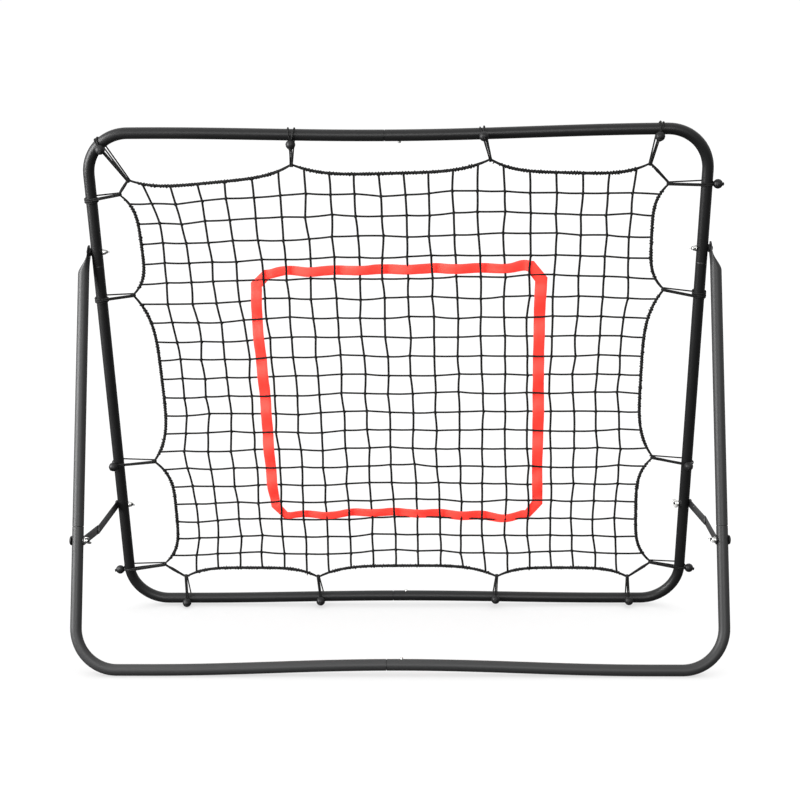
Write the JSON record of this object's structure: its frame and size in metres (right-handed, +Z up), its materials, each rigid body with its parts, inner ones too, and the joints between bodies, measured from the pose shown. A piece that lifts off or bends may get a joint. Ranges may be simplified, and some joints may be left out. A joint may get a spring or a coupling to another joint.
{
  "type": "soccer rebound net",
  "caption": "Free-standing soccer rebound net: a leaning tube frame with a net on elastic ties and a woven target square, propped by a folding leg frame.",
  "frame": {"origin": "on the ground, at the middle of the object's width and depth", "axes": "+X to the player's right across the frame, +Y away from the player from the legs' foot to the net frame's foot, +Z up; the net frame's top leans towards -Y"},
  "size_m": [1.2604, 0.4487, 1.0261],
  "materials": {
    "net_frame_coat": "black powder coat, satin, with a fine orange-peel texture",
    "leg_frame_coat": "dark grey powder coat, satin, with a fine orange-peel texture",
    "black_steel": "blackened steel, satin",
    "bright_steel": "zinc plate, a little dull",
    "spring_steel": "bright spring strip",
    "net_cord": "black braided polyester cord, matt",
    "tie_elastic": "black woven elastic cord with a moulded black ball",
    "target_tape": "bright red woven polyester tape, slightly shiny"
  },
  "bodies": {
    "net_frame": {"net_frame_tube_top_left": "net_frame_coat", "net_frame_tube_top_right": "net_frame_coat", "net_frame_tube_bottom_left": "net_frame_coat", "net_frame_tube_bottom_right": "net_frame_coat", "pivot_bolt_left": "black_steel", "pivot_bolt_right": "black_steel", "stay_bolt_left": "black_steel", "stay_bolt_right": "black_steel", "pivot_spacer_left": "black_steel", "pivot_spacer_right": "black_steel", "snap_spring_top": "spring_steel", "snap_spring_bottom": "spring_steel", "net": "net_cord", "target_ribbon": "target_tape", "tie_01": "tie_elastic", "tie_02": "tie_elastic", "tie_03": "tie_elastic", "tie_04": "tie_elastic", "tie_05": "tie_elastic", "tie_06": "tie_elastic", "tie_07": "tie_elastic", "tie_08": "tie_elastic", "tie_09": "tie_elastic", "tie_10": "tie_elastic", "tie_11": "tie_elastic", "tie_12": "tie_elastic", "tie_13": "tie_elastic", "tie_14": "tie_elastic", "tie_15": "tie_elastic", "tie_16": "tie_elastic"},
    "legs": {"leg_tube_upper_left": "leg_frame_coat", "leg_tube_upper_right": "leg_frame_coat", "leg_tube_lower_left": "leg_frame_coat", "leg_tube_lower_right": "leg_frame_coat", "leg_bolt_left": "black_steel", "leg_bolt_right": "black_steel", "snap_spring_floor": "spring_steel"},
    "stay_short_left": {"stay_link_short_left": "black_steel", "stay_rivet_short_left": "bright_steel"},
    "stay_long_left": {"stay_link_long_left": "black_steel", "stay_rivet_long_left": "bright_steel"},
    "stay_short_right": {"stay_link_short_right": "black_steel", "stay_rivet_short_right": "bright_steel"},
    "stay_long_right": {"stay_link_long_right": "black_steel", "stay_rivet_long_right": "bright_steel"},
    "pivot_nut_left": {"pivot_wing_nut_left": "bright_steel"},
    "pivot_nut_right": {"pivot_wing_nut_right": "bright_steel"},
    "leg_nut_left": {"leg_wing_nut_left": "bright_steel"},
    "leg_nut_right": {"leg_wing_nut_right": "bright_steel"},
    "stay_nut_left": {"stay_wing_nut_left": "bright_steel"},
    "stay_nut_right": {"stay_wing_nut_right": "bright_steel"},
    "button_top": {"snap_button_top": "bright_steel"},
    "button_bottom": {"snap_button_bottom": "bright_steel"},
    "button_floor": {"snap_button_floor": "bright_steel"}
  },
  "joints": [
    {"name": "leg_fold", "type": "hinge", "parent": "net_frame", "child": "legs", "pos_m": [0, 0.01856, 0.78284], "axis": [1, 0, 0], "range_deg": [0, 23]},
    {"name": "short_stay_left", "type": "hinge", "parent": "legs", "child": "stay_short_left", "pos_m": [-0.6024, -0.14332, 0.2446], "axis": [1, 0, 0], "range_deg": [0, 129]},
    {"name": "long_stay_left", "type": "hinge", "parent": "net_frame", "child": "stay_long_left", "pos_m": [-0.6009, 0.15421, 0.23879], "axis": [1, 0, 0], "range_deg": [-17.8, 0]},
    {"name": "short_stay_right", "type": "hinge", "parent": "legs", "child": "stay_short_right", "pos_m": [0.6024, -0.14332, 0.2446], "axis": [1, 0, 0], "range_deg": [0, 120.8]},
    {"name": "long_stay_right", "type": "hinge", "parent": "net_frame", "child": "stay_long_right", "pos_m": [0.6009, 0.15421, 0.23879], "axis": [1, 0, 0], "range_deg": [-12.4, 0]},
    {"name": "pivot_nut_turn_left", "type": "hinge", "parent": "net_frame", "child": "pivot_nut_left", "pos_m": [-0.574, 0.01856, 0.78284], "axis": [1, 0, 0], "continuous": true},
    {"name": "pivot_nut_turn_right", "type": "hinge", "parent": "net_frame", "child": "pivot_nut_right", "pos_m": [0.574, 0.01856, 0.78284], "axis": [1, 0, 0], "continuous": true},
    {"name": "leg_nut_turn_left", "type": "hinge", "parent": "legs", "child": "leg_nut_left", "pos_m": [-0.598, -0.14332, 0.2446], "axis": [1, 0, 0], "continuous": true},
    {"name": "leg_nut_turn_right", "type": "hinge", "parent": "legs", "child": "leg_nut_right", "pos_m": [0.598, -0.14332, 0.2446], "axis": [1, 0, 0], "continuous": true},
    {"name": "stay_nut_turn_left", "type": "hinge", "parent": "net_frame", "child": "stay_nut_left", "pos_m": [-0.574, 0.15421, 0.23879], "axis": [1, 0, 0], "continuous": true},
    {"name": "stay_nut_turn_right", "type": "hinge", "parent": "net_frame", "child": "stay_nut_right", "pos_m": [0.574, 0.15421, 0.23879], "axis": [1, 0, 0], "continuous": true},
    {"name": "button_press_top", "type": "slide", "parent": "net_frame", "child": "button_top", "axis": [0, -0.2419, 0.9703], "range_m": [0, 0.0035], "stiffness_N_per_m": 900, "springref_m": -0.003, "deforming": ["snap_spring_top"]},
    {"name": "button_press_bottom", "type": "slide", "parent": "net_frame", "child": "button_bottom", "axis": [0, 0.2419, -0.9703], "range_m": [0, 0.0035], "stiffness_N_per_m": 900, "springref_m": -0.003, "deforming": ["snap_spring_bottom"]},
    {"name": "button_press_floor", "type": "slide", "parent": "legs", "child": "button_floor", "axis": [0, -0.288, -0.9576], "range_m": [0, 0.0035], "stiffness_N_per_m": 900, "springref_m": -0.003, "deforming": ["snap_spring_floor"]}
  ],
  "couplings": [
    {"joint": "short_stay_left", "follows": "leg_fold", "ratio": 5.6063},
    {"joint": "long_stay_left", "follows": "leg_fold", "ratio": -0.7717},
    {"joint": "short_stay_right", "follows": "leg_fold", "ratio": 5.2471},
    {"joint": "long_stay_right", "follows": "leg_fold", "ratio": -0.5365}
  ]
}
